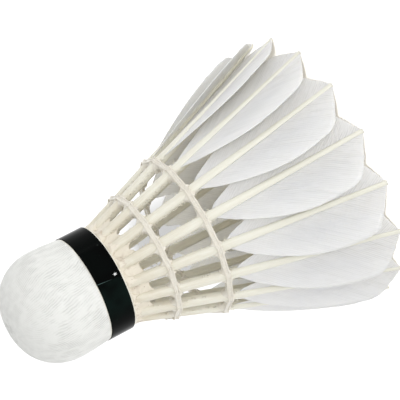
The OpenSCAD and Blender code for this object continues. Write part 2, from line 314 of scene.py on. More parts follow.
class FeatherForm:
    """Rules of a feather's shape. s is the distance from the feather face, towards the tip."""

    def __init__(self, settings):
        self.rise = FACE_Z - CAD_BOX[0][2]
        self.root_depth = ROOT_END - FACE_Z
        self.settings = settings
        self.root_r = settings.root_circle / 2
        self.tip_r = settings.tip_circle / 2
        self.web_start = binding_distance("upper_thread") + settings.web_gap
        self.web_end = self.rise - settings.tip_stub

    def spine_r(self, s):
        t = max(s, 0.0) / self.rise
        bow = 4 * self.settings.bow * t * (1 - t)
        return self.root_r + min(s, 0.0) * self.spine_slope(0.0) + (self.tip_r - self.root_r) * t - bow

    def spine_slope(self, s):
        t = max(s, 0.0) / self.rise
        return (self.tip_r - self.root_r - 4 * self.settings.bow * (1 - 2 * t)) / self.rise

    def lean(self, s):
        return math.hypot(1.0, self.spine_slope(s))

    def shaft_size(self, s, neck, tip):
        if s < 0:
            return mix(self.settings.quill_width, self.settings.root_width, -s / self.root_depth)
        if s < self.web_start:
            return mix(self.settings.quill_width, neck, s / self.web_start)
        left = clamp01((self.rise - s) / (self.rise - self.web_start))
        return tip + (neck - tip) * left ** SHAFT_TAPER

    def width(self, s):
        return self.shaft_size(s, self.settings.neck_width, self.settings.tip_width)

    def depth(self, s):
        return self.shaft_size(s, self.settings.neck_depth, self.settings.tip_depth)

    def web_half(self, s, full):
        turn = math.pi / 2 * clamp01((s - self.web_start) / self.settings.web_growth)
        grown = mix(self.settings.neck_width / 2, full, math.sin(turn))
        cut = self.settings.tip_width / 4 + max(self.rise - s, 0.0) / math.tan(self.settings.trim_angle)
        return (grown ** -WEB_CORNER + cut ** -WEB_CORNER) ** (-1 / WEB_CORNER)

    def web_height(self, s, c, full, tilt):
        return WEB_LEVEL * self.depth(s) + c * math.sin(tilt) - self.settings.web_curl * (c / full) ** 2

    def point(self, s, height, aside):
        """Point of the feather that lies along +X, from its height over the shaft and its side distance."""
        return Vector((self.spine_r(s) + self.lean(s) * height, -aside, FACE_Z - s))


def mapped_grid(bm, columns, rows, place):
    """A grid of faces whose corners go to place(u, v), u and v from 0 to 1, which are also its UV map."""
    bm.loops.layers.uv.verify()
    made = bmesh.ops.create_grid(bm, x_segments=columns, y_segments=rows, size=0.5, calc_uvs=True)
    for vert in made["verts"]:
        vert.co = place(vert.co.x + 0.5, vert.co.y + 0.5)
    return made["verts"]


def close_mesh(bm):
    """Merges seams and poles, fills open ends and turns all faces outwards."""
    bmesh.ops.remove_doubles(bm, verts=bm.verts, dist=MERGE)
    open_edges = [edge for edge in bm.edges if edge.is_boundary]
    if open_edges:
        bmesh.ops.holes_fill(bm, edges=open_edges, sides=0)
    bmesh.ops.recalc_face_normals(bm, faces=bm.faces)


def closed_grid(faces, place):
    """A new mesh from one mapped grid, closed."""
    bm = bmesh.new()
    mapped_grid(bm, *faces, place)
    close_mesh(bm)
    return bm


def shift_uv(bm, along_u, along_v):
    """Moves a piece's UV map, so that like pieces differ in their pattern."""
    layer = bm.loops.layers.uv.verify()
    for face in bm.faces:
        for loop in face.loops:
            loop[layer].uv += Vector((along_u, along_v))


def in_scene(name, data):
    """Puts a mesh, a lamp or a camera into the scene."""
    made = bpy.data.objects.new(name, data)
    bpy.context.scene.collection.objects.link(made)
    return made


def finished_mesh(name, bm, material):
    mesh = bpy.data.meshes.new(name)
    bm.to_mesh(mesh)
    bm.free()
    mesh.materials.append(material)
    return mesh


def add_piece(name, bm, material, slot, *replaced):
    """Makes a finished mesh a piece of the object, which rides on the object's one body."""
    piece = in_scene(name, finished_mesh(name, bm, material))
    piece.data.shade_smooth()
    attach(piece, "root")
    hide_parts(*replaced)
    return piece


class Wiring:
    """Adds nodes to a node tree, with each input set to a value or linked to another node's output."""

    def __init__(self, tree):
        self.tree = tree

    def add(self, kind, inputs=None, **facts):
        made = self.tree.nodes.new(kind)
        for name, value in facts.items():
            setattr(made, name, value)
        for name, value in (inputs or {}).items():
            self.set(made.inputs[name], value)
        return made

    def set(self, socket, value):
        if isinstance(value, bpy.types.NodeSocket):
            self.tree.links.new(value, socket)
        else:
            socket.default_value = value

    def coordinates(self, kind):
        return self.add("ShaderNodeTexCoord").outputs[kind]

    def axis(self, vector, name):
        return self.add("ShaderNodeSeparateXYZ", {"Vector": vector}).outputs[name]

    def channel(self, tint, name):
        return self.add("ShaderNodeSeparateColor", {"Color": tint}).outputs[name]

    def mapped(self, vector, scale):
        return self.add("ShaderNodeMapping", {"Vector": vector, "Scale": scale}).outputs["Vector"]

    def noise(self, vector, scale, detail=2.0, distortion=0.0):
        inputs = {"Vector": vector, "Scale": scale, "Detail": detail, "Distortion": distortion}
        return self.add("ShaderNodeTexNoise", inputs).outputs["Fac"]

    def math(self, operation, a, b=0.0):
        return self.add("ShaderNodeMath", {0: a, 1: b}, operation=operation).outputs[0]

    def times(self, a, b):
        return self.math("MULTIPLY", a, b)

    def plus(self, a, b):
        return self.math("ADD", a, b)

    def larger(self, a, b):
        return self.math("MAXIMUM", a, b)

    def opposite(self, value):
        return self.math("SUBTRACT", 1.0, value)

    def spread(self, value, low, high, to_low=0.0, to_high=1.0):
        inputs = {"Value": value, "From Min": low, "From Max": high, "To Min": to_low, "To Max": to_high}
        return self.add("ShaderNodeMapRange", inputs).outputs["Result"]

    def smooth(self, value, low, high):
        inputs = {"Value": value, "From Min": low, "From Max": high}
        return self.add("ShaderNodeMapRange", inputs, interpolation_type="SMOOTHSTEP").outputs["Result"]

    def blend(self, factor, a, b):
        return self.add("ShaderNodeMix", {0: factor, 6: a, 7: b}, data_type="RGBA").outputs[2]

    def bump(self, height, distance, strength=1.0):
        inputs = {"Height": height, "Distance": distance, "Strength": strength}
        return self.add("ShaderNodeBump", inputs).outputs["Normal"]

    def streaks(self, vector, stretch, warp):
        """Soft streaks stretched along an axis: their tone and their crease lines."""
        inputs = {"Vector": vector, "Stretch": stretch, "Warp": warp}
        return self.group(streaks_group(), inputs)

    def specks(self, vector, scale, amount):
        """Scattered specks as a mask."""
        return self.group(specks_group(), {"Vector": vector, "Scale": scale, "Amount": amount})["Mask"]

    def group(self, group, inputs):
        made = self.add("ShaderNodeGroup", node_tree=group)
        for name, value in inputs.items():
            self.set(made.inputs[name], value)
        return made.outputs


def new_group(name, inputs, outputs):
    """An empty shader node group with named sockets, and its wiring, input sockets and output node."""
    tree = bpy.data.node_groups.new(name, "ShaderNodeTree")
    for socket, kind in inputs.items():
        tree.interface.new_socket(socket, in_out="INPUT", socket_type=kind)
    for socket in outputs:
        tree.interface.new_socket(socket, in_out="OUTPUT", socket_type="NodeSocketFloat")
    wires = Wiring(tree)
    return tree, wires, wires.add("NodeGroupInput").outputs, wires.add("NodeGroupOutput")


def streaks_group():
    """Streaks along a stretched direction: a soft tone, and its crease lines."""
    name = "shuttle_streaks"
    if name in bpy.data.node_groups:
        return bpy.data.node_groups[name]
    sockets = {"Vector": "NodeSocketVector", "Stretch": "NodeSocketVector", "Warp": "NodeSocketFloat"}
    tree, wires, given, out = new_group(name, sockets, ("Tone", "Crease"))
    factors = {0: given["Vector"], 1: given["Stretch"]}
    scaled = wires.add("ShaderNodeVectorMath", factors, operation="MULTIPLY")
    tone = wires.noise(scaled.outputs[0], 1.0, 3.0, given["Warp"])
    wires.set(out.inputs["Tone"], wires.spread(tone, 0.3, 0.7))
    ridge = wires.math("ABSOLUTE", wires.math("SUBTRACT", tone, 0.5))
    wires.set(out.inputs["Crease"], wires.spread(ridge, 0.0, 0.12, 1.0, 0.0))
    return tree


def specks_group():
    """Scattered small specks: 1 on a speck and 0 beside it."""
    name = "shuttle_specks"
    if name in bpy.data.node_groups:
        return bpy.data.node_groups[name]
    sockets = {"Vector": "NodeSocketVector", "Scale": "NodeSocketFloat", "Amount": "NodeSocketFloat"}
    tree, wires, given, out = new_group(name, sockets, ("Mask",))
    cells = wires.add("ShaderNodeTexVoronoi", {"Vector": given["Vector"], "Scale": given["Scale"]})
    near = wires.spread(cells.outputs["Distance"], 0.12, 0.26, 1.0, 0.0)
    chance = wires.channel(cells.outputs["Color"], "Red")
    chosen = wires.math("LESS_THAN", chance, given["Amount"])
    wires.set(out.inputs["Mask"], wires.times(near, chosen))
    return tree


def new_material(name, **constants):
    """A material with its wiring and its shader, whose constant sockets are set by name."""
    material = bpy.data.materials.new(name)
    material.use_nodes = True
    wires = Wiring(material.node_tree)
    shader = material.node_tree.nodes["Principled BSDF"]
    for socket, value in constants.items():
        shader.inputs[socket.replace("_", " ")].default_value = value
    return material, wires, shader.inputs


def leather_material(base):
    """White leather whose stretched grain runs in fine pleats from the nose to the ribbon, with painted
    shade in the creases between them.
    """
    sway_scale, sway_reach = 140.0, 4.5
    grain_scale, patch_scale, speck_scale = 700.0, 150.0, 620.0
    material, wires, shader = new_material("white_leather")
    place = wires.coordinates("Object")
    level = wires.axis(place, "Z")
    girth = math.tau * NOSE_R
    count = round(girth / base.crease_width)
    angle = wires.math("ARCTAN2", wires.axis(place, "Y"), wires.axis(place, "X"))
    around = wires.times(angle, count / math.tau)
    lean = wires.times(level, base.crease_lean * count / girth)
    sway = wires.times(wires.noise(place, sway_scale), sway_reach)
    pleats = wires.math("PINGPONG", wires.plus(wires.plus(around, lean), sway), 0.5)
    ends = wires.noise(wires.mapped(place, (1.0, 1.0, 0.45)), grain_scale)
    pleats = wires.times(wires.spread(pleats, 0.08, 0.5), wires.spread(ends, 0.36, 0.6))
    patches = wires.spread(wires.noise(place, patch_scale), 0.38, 0.62, 0.65, 1.0)
    # Strength of the painted crease shade: patchy, and weaker near the tip of the nose
    crease_shade_strength = wires.times(patches, wires.spread(level, NOSE_Z - 2 * MM, NOSE_Z - 9 * MM, 0.6, 1.0))
    lines = wires.times(pleats, crease_shade_strength)
    tint = wires.blend(wires.times(lines, 0.65), base.leather_colour, base.crease_shade_colour)
    specks = wires.specks(place, speck_scale, 0.012)
    tint = wires.blend(wires.times(specks, 0.35), tint, base.speck_colour)
    # A cream band in the leather along the ribbon's upper edge
    rim = wires.spread(level, RIBBON_HIGH + 0.12 * MM, RIBBON_HIGH + 0.42 * MM, 1.0, 0.0)
    wires.set(shader["Base Color"], wires.blend(rim, tint, base.rim_colour))
    wires.set(shader["Roughness"], wires.spread(ends, 0.3, 0.7, 0.42, 0.6))
    wires.set(shader["Normal"], wires.bump(wires.opposite(lines), 0.1 * MM, 0.8))
    return material


def ribbon_material(base):
    """Glossy black ribbon with a painted greenish sheen past its seam, and a blister in its lapped end."""
    cast_scale, gloss_scale, wave_scale, dust_scale = 150.0, 420.0, 330.0, 900.0
    blister_reach = 1.6 * MM
    material, wires, shader = new_material("black_ribbon", Specular_IOR_Level=0.025)
    place = wires.coordinates("Object")
    along = wires.axis(wires.coordinates("UV"), "Y")
    # Painted reflection: a greenish sheen in patches, full just past the seam and faint over the rest of the
    # strip
    painted_sheen = wires.spread(wires.noise(place, cast_scale), 0.35, 0.65)
    painted_sheen = wires.times(painted_sheen, wires.spread(along, 0.22, 0.10, 0.12, 1.0))
    tint = wires.blend(painted_sheen, base.ribbon_colour, base.ribbon_sheen_colour)
    # Pale line on the lap's cut end over part of the ribbon's width: partly the edge's own colour, partly a
    # painted highlight
    lifted = wires.spread(wires.axis(place, "Z"), FACE_Z + 2.6 * MM, FACE_Z + 5.5 * MM)
    end = wires.times(wires.spread(along, 0.9988, 0.9994), lifted)
    tint = wires.blend(end, tint, base.ribbon_edge_glint_colour)
    dust = wires.times(wires.specks(place, dust_scale, 0.02), 0.12)
    wires.set(shader["Base Color"], wires.blend(dust, tint, base.dust_colour))
    waves = wires.noise(wires.mapped(place, (1.0, 1.0, 0.35)), wave_scale, 1.0)
    ends = {0: place, 1: BLISTER}
    aside = wires.add("ShaderNodeVectorMath", ends, operation="DISTANCE").outputs["Value"]
    blister = wires.smooth(aside, blister_reach, 0.0)
    gloss = wires.spread(wires.noise(place, gloss_scale), 0.3, 0.7, 0.05, 0.11)
    wires.set(shader["Roughness"], wires.larger(gloss, wires.times(blister, 0.2)))
    height = wires.plus(wires.times(waves, 0.25), blister)
    wires.set(shader["Normal"], wires.bump(height, 0.035 * MM))
    return material


def cork_material(base, name, granule, pores):
    """Cork: natural with long pores, or pressed from granules."""
    material, wires, shader = new_material(name)
    place = wires.coordinates("Object")
    cell = {"Vector": place, "Scale": 1 / granule}
    tone = wires.channel(wires.add("ShaderNodeTexVoronoi", cell).outputs["Color"], "Green")
    edges = wires.add("ShaderNodeTexVoronoi", cell, feature="DISTANCE_TO_EDGE")
    seam = wires.spread(edges.outputs["Distance"], 0.0, 0.09, 1.0, 0.0)
    pale = wires.spread(tone, 0.0, 1.0, 0.0, 0.35)
    light = wires.blend(pale, base.cork_colour, base.granule_colour)
    pore = wires.streaks(place, pores, 0.4)["Crease"]
    dark = wires.larger(wires.times(seam, 0.6), wires.times(pore, 0.45))
    wires.set(shader["Base Color"], wires.blend(dark, light, base.grain_colour))
    wires.set(shader["Roughness"], wires.spread(tone, 0.0, 1.0, 0.72, 0.9))
    wires.set(shader["Normal"], wires.bump(wires.opposite(dark), 0.12 * MM, 0.8))
    return material


def root_glue_material(base):
    """Dried glue with brown residue where it climbs the quills, and specks."""
    patch_scale, speck_scale = 520.0, 1500.0
    material, wires, shader = new_material("root_glue", Coat_Weight=0.3, Coat_Roughness=0.15)
    place = wires.coordinates("Object")
    climb = wires.add("ShaderNodeAttribute", attribute_name="climb").outputs["Fac"]
    patches = wires.noise(place, patch_scale, 3.0, 0.6)
    low = wires.spread(wires.axis(place, "Z"), FACE_Z - 3.2 * MM, FACE_Z - 1.2 * MM, 0.1, 1.0)
    near = wires.times(wires.times(climb, low), wires.spread(patches, 0.50, 0.70))
    stain = wires.larger(near, wires.times(wires.specks(place, speck_scale, 0.05), 0.55))
    wires.set(shader["Base Color"], wires.blend(stain, base.glue_colour, base.stain_colour))
    wires.set(shader["Roughness"], wires.spread(patches, 0.3, 0.7, 0.22, 0.5))
    wires.set(shader["Normal"], wires.bump(patches, 0.1 * MM, 0.6))
    return material


def quill_material(feathers):
    """Ivory horn with fine fibres, tan and striped towards the base."""
    patch_scale = 260.0
    material, wires, shader = new_material(
        "ivory_quill", Subsurface_Weight=0.15, Subsurface_Scale=0.4 * MM, Subsurface_Radius=EVEN_DEPTH
    )
    uv = wires.coordinates("UV")
    place = wires.coordinates("Object")
    fibres = wires.streaks(uv, (22.0, 9.0, 1.0), 0.3)
    stripes = wires.streaks(uv, (7.0, 14.0, 1.0), 0.5)
    level = wires.axis(place, "Z")
    patches = wires.noise(place, patch_scale, distortion=0.4)
    root = wires.spread(level, FACE_Z - 15 * MM, FACE_Z + 1 * MM)
    root = wires.times(root, wires.spread(patches, 0.3, 0.7, 0.15, 0.9))
    tint = wires.blend(root, feathers.quill_colour, feathers.quill_root_colour)
    bare = wires.spread(level, FACE_Z - 30 * MM, FACE_Z - 12 * MM, 0.25, 1.0)
    marks = wires.plus(wires.times(fibres["Crease"], 0.3), wires.times(stripes["Tone"], 0.4))
    tint = wires.blend(wires.times(marks, bare), tint, feathers.quill_root_colour)
    wires.set(shader["Base Color"], tint)
    wires.set(shader["Roughness"], wires.spread(fibres["Tone"], 0.0, 1.0, 0.3, 0.48))
    wires.set(shader["Normal"], wires.bump(fibres["Tone"], 0.03 * MM, 0.6))
    return material


def web_material(feathers):
    """White web with the fine lines of its barbs, shown by painted shade between them that grows stronger
    towards the tip.
    """
    material, wires, shader = new_material(
        "white_web", Subsurface_Weight=1.0, Subsurface_Scale=0.5 * MM, Subsurface_Radius=EVEN_DEPTH
    )
    uv = wires.coordinates("UV")
    along = wires.axis(uv, "Y")
    barb = wires.math("PINGPONG", wires.times(along, float(feathers.barbs)), 0.5)
    valley = wires.opposite(wires.times(barb, 2.0))
    strands = wires.streaks(uv, (1.2, feathers.barbs * 1.3, 1.0), 0.15)
    bands = wires.streaks(uv, (1.5, 9.0, 1.0), 0.2)
    plain = wires.spread(bands["Tone"], 0.3, 0.8, 0.2, 1.0)
    plain = wires.times(plain, wires.spread(wires.math("FRACT", along), 0.4, 0.95, 0.8, 2.0))
    # Painted shade: the web darkens towards its shade colour in the valleys between the barbs and along
    # faint creases, more so towards the tip
    shade = wires.times(wires.times(valley, strands["Tone"]), plain)
    shade = wires.plus(shade, wires.times(bands["Crease"], 0.14))
    wires.set(shader["Base Color"], wires.blend(shade, feathers.web_colour, feathers.web_shade_colour))
    wires.set(shader["Roughness"], wires.spread(strands["Tone"], 0.0, 1.0, 0.42, 0.62))
    height = wires.math("SUBTRACT", wires.times(strands["Tone"], 0.5), valley)
    wires.set(shader["Normal"], wires.bump(height, 0.04 * MM, 0.7))
    return material


def thread_material(binding):
    """Thread with fine fibres, soaked with glue in places."""
    fibre_scale, soak_scale = 4200.0, 380.0
    material, wires, shader = new_material("wound_thread")
    place = wires.coordinates("Object")
    fibres = wires.noise(place, fibre_scale)
    soaked = wires.spread(wires.noise(place, soak_scale), 0.35, 0.65)
    tint = wires.blend(soaked, binding.thread_colour, binding.glue_shade_colour)
    milky = wires.spread(fibres, 0.3, 0.7, 0.0, 0.2)
    wires.set(shader["Base Color"], wires.blend(milky, tint, binding.glue_colour))
    wires.set(shader["Roughness"], wires.spread(soaked, 0.0, 1.0, 0.55, 0.3))
    wires.set(shader["Normal"], wires.bump(fibres, 0.03 * MM, 0.6))
    return material


def binding_glue_material(binding):
    """Milky dried glue with thin and thick patches."""
    patch_scale = 700.0
    material, wires, shader = new_material(
        "milky_glue", Coat_Weight=0.35, Coat_Roughness=0.12, Subsurface_Weight=0.2,
        Subsurface_Scale=0.5 * MM, Subsurface_Radius=EVEN_DEPTH,
    )
    patches = wires.noise(wires.coordinates("Object"), patch_scale, 3.0, 0.5)
    thin = wires.spread(patches, 0.4, 0.7)
    wires.set(shader["Base Color"], wires.blend(thin, binding.glue_colour, binding.glue_shade_colour))
    wires.set(shader["Roughness"], wires.spread(patches, 0.3, 0.7, 0.2, 0.42))
    wires.set(shader["Normal"], wires.bump(patches, 0.05 * MM, 0.5))
    return material


def leather_outline(base):
    """Outer outline of the leather as points of radius and height, from its cut edge to the nose."""
    edge_steps, shank_steps, swell_steps, dome_steps = 6, 8, 20, 56
    shank = NOSE_R - base.leather_swell
    dome_z = NOSE_Z - base.dome_height
    edge = base.leather_edge
    points = [(shank - base.leather_thickness, FACE_Z)]
    for step in range(edge_steps + 1):
        turn = math.pi / 2 * step / edge_steps
        points.append((shank - edge * (1 - math.sin(turn)), FACE_Z + edge * (1 - math.cos(turn))))
    for step in range(shank_steps):
        points.append((shank, mix(FACE_Z + edge, RIBBON_HIGH, (step + 1) / shank_steps)))
    for step in range(1, swell_steps):
        swell = base.leather_swell * math.sin(math.pi / 2 * step / swell_steps)
        points.append((shank + swell, mix(RIBBON_HIGH, dome_z, step / swell_steps)))
    for step in range(dome_steps + 1):
        turn = math.pi / 2 * step / dome_steps
        reach = max(math.cos(turn), 0.0) ** base.dome_shape
        points.append((NOSE_R * reach, dome_z + base.dome_height * math.sin(turn)))
    points[-1] = (0.0, NOSE_Z)
    return points


def spun(bm, outline):
    """Turns an outline of radius and height about the axis."""
    verts = [bm.verts.new((radius, 0.0, z)) for radius, z in outline]
    edges = [bm.edges.new(pair) for pair in zip(verts, verts[1:])]
    bmesh.ops.spin(
        bm, geom=verts + edges, cent=(0, 0, 0), axis=(0, 0, 1), angle=math.tau,
        steps=SPIN_STEPS, use_merge=True,
    )


def leather_crease(place, base):
    """Height of the stretched grain at a place of the leather, from about -1 to 1."""
    folds, warp_scale, warp_reach, finer = 1.6, 160.0, 0.9, 2.1
    across = 1 / (folds * base.crease_width)
    round_axis = Vector((place.x, place.y, 0.0)).normalized() * NOSE_R * across
    spot = round_axis + Vector((0.0, 0.0, place.z * across * base.crease_stretch))
    warp = noise.noise_vector(place * warp_scale) * warp_reach
    return noise.noise(spot + warp) + 0.5 * noise.noise(finer * spot - warp)


def leather_mesh(base):
    """The leather's outer skin with its grain, and its plain inner skin, joined at the cut edge."""
    smooth_rim, fade_reach = 0.1 * MM, 1.5 * MM
    bm = bmesh.new()
    outline = leather_outline(base)
    spun(bm, outline)
    bmesh.ops.remove_doubles(bm, verts=bm.verts, dist=2 * MERGE)
    bmesh.ops.recalc_face_normals(bm, faces=bm.faces)
    bm.normal_update()
    noise.seed_set(CREASE_SEED)
    for vert in bm.verts:
        fade = ease((vert.co.z - RIBBON_HIGH - smooth_rim) / fade_reach)
        if fade > 0:
            vert.co += vert.normal * base.crease_depth * fade * leather_crease(vert.co, base)
    # The inner skin follows every fourth point of the outline past its rounded edge
    top = NOSE_Z - base.leather_thickness
    inner = [(max(radius - base.leather_thickness, 0.0), min(z, top)) for radius, z in outline[8::4]]
    spun(bm, [outline[0]] + inner + [(0.0, top)])
    close_mesh(bm)
    return bm


def ribbon_mesh(base):
    """One strip wound round the shank, whose end rides over its start."""
    play, lap_rise = 0.02 * MM, 0.12
    fill, squareness = 1.02, 0.12
    ripple_around, ripple_across = 9, 40
    inner = NOSE_R - base.leather_swell + play
    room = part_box("ribbon")[1].y - inner
    lap = base.ribbon_lap / inner
    start = base.ribbon_seam + lap
    width = RIBBON_HIGH - RIBBON_LOW
    middle = (RIBBON_HIGH + RIBBON_LOW) / 2
    thickness = min(base.ribbon_thickness, room)

    def place(u, v):
        around = math.tau * u
        flat = math.cos(around)
        side = math.copysign(min(abs(flat) * fill, 1.0) ** squareness, flat)
        turned = v * (math.tau + lap + base.ribbon_slant * (1 - side) / 2)
        climb = (thickness + play) * ease((turned - math.tau + lap_rise) / lap_rise)
        face = signed_power(math.sin(around), 0.5)
        radius = inner + climb + thickness * (0.5 + 0.5 * face)
        ripple = play * noise.noise(polar(ripple_around, turned, ripple_across * u))
        return polar(radius + ripple, start - turned, middle + width / 2 * side)

    return closed_grid(RIBBON_FACES, place)


def root_glue_mesh(base, form):
    """Glue bed on the feather face, with a fillet that climbs each quill and a film between two quills."""
    front_share, back_share = 0.8, 0.2
    seat, rim_fade = 0.03 * MM, 0.4 * MM
    lump_scale, grit_scale = 650.0, 1500.0
    bm = bmesh.new()
    climb = bm.verts.layers.float.new("climb")
    quill = form.width(0.0) / 2
    inner = form.root_r - base.glue_inner
    outer = form.root_r + base.glue_outer
    dice = random.Random(FILM_SEED)
    tall = [dice.uniform(0.7, 1.1) for _ in FEATHER_NODES]

    def place(u, v):
        """Radius, angle and height of a corner, before the glue is given its thickness."""
        angle = math.tau * v
        if u > front_share:
            return Vector((mix(outer, inner, (u - front_share) / back_share), angle, FACE_Z + seat))
        return Vector((mix(inner, outer, u / front_share), angle, FACE_Z))

    def fillet(radius, angle):
        nearest = round((angle - FIRST_ANGLE) / PITCH) * PITCH + FIRST_ANGLE
        aside = (polar(radius, angle) - polar(form.root_r, nearest)).length
        return math.exp(-max(aside - quill, 0.0) / base.glue_spread)

    def film(radius, angle):
        """Height of the film that stretches from quill to quill and sags between them."""
        turns = (angle - FIRST_ANGLE) / PITCH
        gap = math.floor(turns)
        across = 2 * (turns - gap) - 1
        sag = mix(0.65, 1.0, abs(across) ** 2)
        thin = math.exp(-((radius - form.root_r) / (base.film_thickness / 2)) ** 2)
        return base.film_height * tall[gap % len(tall)] * sag * thin

    for vert in mapped_grid(bm, *GLUE_BED_FACES, place):
        radius, angle, z = vert.co
        spot = polar(radius, angle, FACE_Z)
        inside = (radius - inner) * (outer - radius) / ((outer - inner) / 2) ** 2
        rise = fillet(radius, angle) * clamp01((outer - radius) / rim_fade) ** 0.5
        vert[climb] = rise
        if z <= FACE_Z and inside > 1e-6:
            lumps = 0.75 + 0.7 * noise.noise(spot * lump_scale) + 0.4 * noise.noise(spot * grit_scale)
            bed = base.glue_bed * min(1.0, inside * 4) ** 0.5
            height = (bed + base.glue_climb * rise) * max(lumps, 0.25)
            height = max(height, film(radius, angle) * mix(0.85, 1.0, clamp01(lumps)))
            spot *= 1 + form.spine_slope(0.0) * height / radius
            spot.z = FACE_Z - height
        else:
            spot.z = z
        vert.co = spot
    close_mesh(bm)
    return bm


def barb_lengths(form, full, angle, rows):
    """Length of the barb on each row of a web, from the shaft to the web's edge."""
    step, halvings = 0.2 * MM, 12

    def inside(root, reach):
        s = root + reach * math.cos(angle)
        c = barb_seat(form, root) + reach * math.sin(angle)
        return s < form.rise and c < form.web_half(s, full)

    lengths = []
    for row in range(rows + 1):
        root = barb_root(form, row / rows)
        high = step
        while inside(root, high):
            high += step
        low = high - step
        for _ in range(halvings):
            middle = (low + high) / 2
            if inside(root, middle):
                low = middle
            else:
                high = middle
        lengths.append(low)
    return lengths


def barb_root(form, v):
    """Distance from the feather face at which a barb leaves the shaft."""
    lead, stop = 0.25 * MM, 0.2 * MM
    return mix(form.web_start + lead, form.web_end - stop, v)


def barb_seat(form, s):
    return BARB_SEAT * form.width(s)


def add_web(bm, form, side, dice, lengths):
    """One web of a feather: barbs that rise a little above the web between them, and a few that stand up."""
    feathers = form.settings
    full, tilt = feathers.wide_web, feathers.wide_tilt
    if side < 0:
        full, tilt = feathers.narrow_web, -feathers.narrow_tilt
    rows = 2 * feathers.barbs
    shortest, step_rows = 0.3 * MM, 8
    wave_along, wave_across = 70, 160 * side
    trims = [dice.uniform(-0.16, 0.05) * MM for _ in range(rows + 1)]
    seed = dice.uniform(0, 100)
    steps = []
    for _ in range(dice.choice((0, 1, 1, 2))):
        first, opens = dice.randrange(rows // 5, rows), dice.uniform(0.2, 0.6)
        steps.append((first, opens, dice.uniform(0.06, 0.14) * MM))
    lifted = {}
    for _ in range(dice.randint(1, 4)):
        lifted[dice.randrange(rows // 6, rows) | 1] = dice.uniform(0.05, 0.12) * MM

    def place(u, v):
        row = round(v * rows)
        root = barb_root(form, v)
        reach = max(lengths[row] + trims[row], shortest) * u
        c = barb_seat(form, root) + reach * math.sin(feathers.barb_angle)
        s = root + reach * math.cos(feathers.barb_angle)
        ridge = feathers.barb_ridge * (1 if row % 2 else -1) * ease(4 * u)
        ridge += lifted.get(row, 0.0) * ease(2 * u)
        for first, opens, rise in steps:
            if row >= first:
                ridge += rise * math.exp((first - row) / step_rows) * ease((u - opens) / (1 - opens))
        spot = Vector((s * wave_along, c * wave_across, seed))
        wave = feathers.flutter * noise.noise(spot) * ease(2 * c / full)
        height = form.web_height(s, c, full, tilt) + ridge + wave
        return form.point(min(s, form.rise), height, side * c * math.cos(tilt))

    mapped_grid(bm, WEB_COLUMNS, rows, place)


def web_mesh(form, index, lengths):
    """Both webs of a feather, as sheets."""
    bm = bmesh.new()
    dice = random.Random(WEB_SEED + index)
    for side in (1, -1):
        add_web(bm, form, side, dice, lengths[side])
    # Whole numbers along the web, whose fractions still tell how far along it a place lies
    shift_uv(bm, WEB_SHIFT * index, index)
    return bm


def add_fibre(bm, seat, lean, long, sides, thick, out):
    """One fibre that leans from its seat and thins to its end, with its middle a share of its length out."""
    turn = lean.to_track_quat("Z", "Y").to_matrix().to_4x4()
    bmesh.ops.create_cone(
        bm, cap_ends=True, segments=sides, radius1=thick, radius2=0.03 * MM, depth=long,
        matrix=Matrix.Translation(seat + lean.normalized() * out * long) @ turn,
    )


def add_stub(bm, form, s, side, dice):
    """One barb stub that the trimming left on the side of the bare quill."""
    seat = form.point(s, dice.uniform(-0.05, 0.3) * form.depth(s) / 2, side * 0.96 * form.width(s) / 2)
    along = (form.point(s + MM, 0, 0) - form.point(s, 0, 0)).normalized()
    lean = Vector((dice.uniform(-0.2, 0.3), -side, 0)) + along * dice.uniform(0.4, 1.1)
    long = form.settings.stub_length * dice.uniform(0.4, 1.35)
    add_fibre(bm, seat, lean, long, sides=5, thick=dice.uniform(0.14, 0.26) * MM, out=0.3)


def add_down(bm, form, side, dice):
    """One downy fibre beside the place where a web begins."""
    s = form.web_start + dice.uniform(-1.6, 0.8) * MM
    seat = form.point(s, dice.uniform(0.1, 0.7) * form.depth(s) / 2, side * 0.8 * form.width(s) / 2)
    lean = Vector((dice.uniform(0.1, 0.9), -side * dice.uniform(0.6, 1.2), dice.uniform(-0.8, 0.5)))
    add_fibre(bm, seat, lean, dice.uniform(0.7, 1.5) * MM, sides=4, thick=0.09 * MM, out=0.4)


def quill_mesh(form, index):
    """A quill and its shaft, with the stubs and the down that the trimming left on it."""
    square_reach, squareness = 6 * MM, 0.84
    groove_reach, groove_width, groove_depth = 9 * MM, 0.4, 0.35
    uneven, uneven_scale, seed = 0.03, 240, 13.0 * index
    first_stub, last_stub = 1.5 * MM, form.web_start + 0.5 * MM
    dice = random.Random(QUILL_SEED + index)

    def place(u, v):
        turn = math.tau * u
        s = mix(-form.root_depth, form.rise, v)
        square = mix(1.0, squareness, ease(s / square_reach))
        height = form.depth(s) / 2 * signed_power(math.cos(turn), square)
        aside = form.width(s) / 2 * signed_power(math.sin(turn), square)
        if height < 0:
            groove = math.exp(-(math.sin(turn) / groove_width) ** 2)
            height *= 1 - groove_depth * (groove * ease((s - form.web_start) / groove_reach))
        spot = Vector((s * uneven_scale, seed, 2 * math.cos(turn)))
        swell = 1 + uneven * noise.noise(spot) * ease(s / MM)
        return form.point(s, height * swell, aside * swell)

    bm = closed_grid(QUILL_FACES, place)
    for side, chance in ((1, 0.85), (-1, 0.5)):
        s = first_stub
        while s < last_stub:
            if dice.random() < chance:
                add_stub(bm, form, s, side, dice)
            s += dice.uniform(0.45, 0.75) * MM
        for _ in range(dice.randint(1, 4)):
            add_down(bm, form, side, dice)
    shift_uv(bm, QUILL_SHIFT * index, 0.0)
    return bm


def turned_to_place(bm, index):
    """Turns a feather that was made along +X to its own place round the axis."""
    turn = Matrix.Rotation(feather_angle(index), 3, "Z")
    bmesh.ops.rotate(bm, cent=(0, 0, 0), matrix=turn, verts=bm.verts)
    return bm


